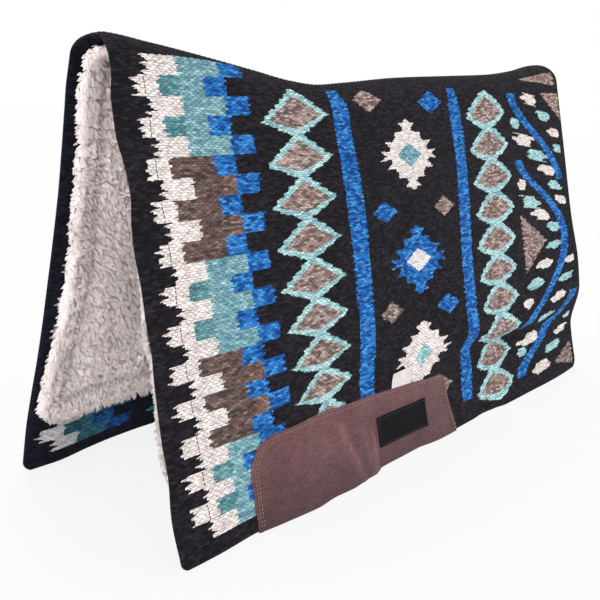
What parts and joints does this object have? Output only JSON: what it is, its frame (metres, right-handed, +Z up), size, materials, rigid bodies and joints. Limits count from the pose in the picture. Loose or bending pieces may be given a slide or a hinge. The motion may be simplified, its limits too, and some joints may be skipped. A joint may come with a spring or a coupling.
{
  "type": "western saddle pad",
  "caption": "Folded woven saddle pad with a felt core, fleece lining and wear leathers, made to lie over a horse's back under a western saddle.",
  "frame": {"origin": "on the ground under the middle of the spine, at the centre of the box's bottom", "axes": "+X along the spine from the front (withers) edge to the rear edge, +Y to the right flap, +Z up"},
  "size_m": [0.864, 0.2876, 0.4785],
  "materials": {
    "woven_wool": "black double-woven wool with turquoise, blue, cream, brown and taupe weft figures",
    "felt": "pressed grey felt",
    "fleece": "cream curled fleece pile",
    "wear_leather": "mauve-brown grained leather, tan thread",
    "label_cloth": "bare black woven label",
    "tag_cloth": "bare white satin tag"
  },
  "bodies": {
    "left_side": {"left_woven_cover": "woven_wool", "left_felt_core": "felt", "left_fleece_lining": "fleece", "left_wear_leather": "wear_leather", "label": "label_cloth", "size_tag": "tag_cloth"},
    "right_side": {"right_woven_cover": "woven_wool", "right_felt_core": "felt", "right_fleece_lining": "fleece", "right_wear_leather": "wear_leather"}
  },
  "joints": [
    {"name": "spine_fold", "type": "hinge", "parent": "left_side", "child": "right_side", "pos_m": [0, 0, 0.479], "axis": [1, 0, 0], "range_deg": [-10, 150]}
  ]
}
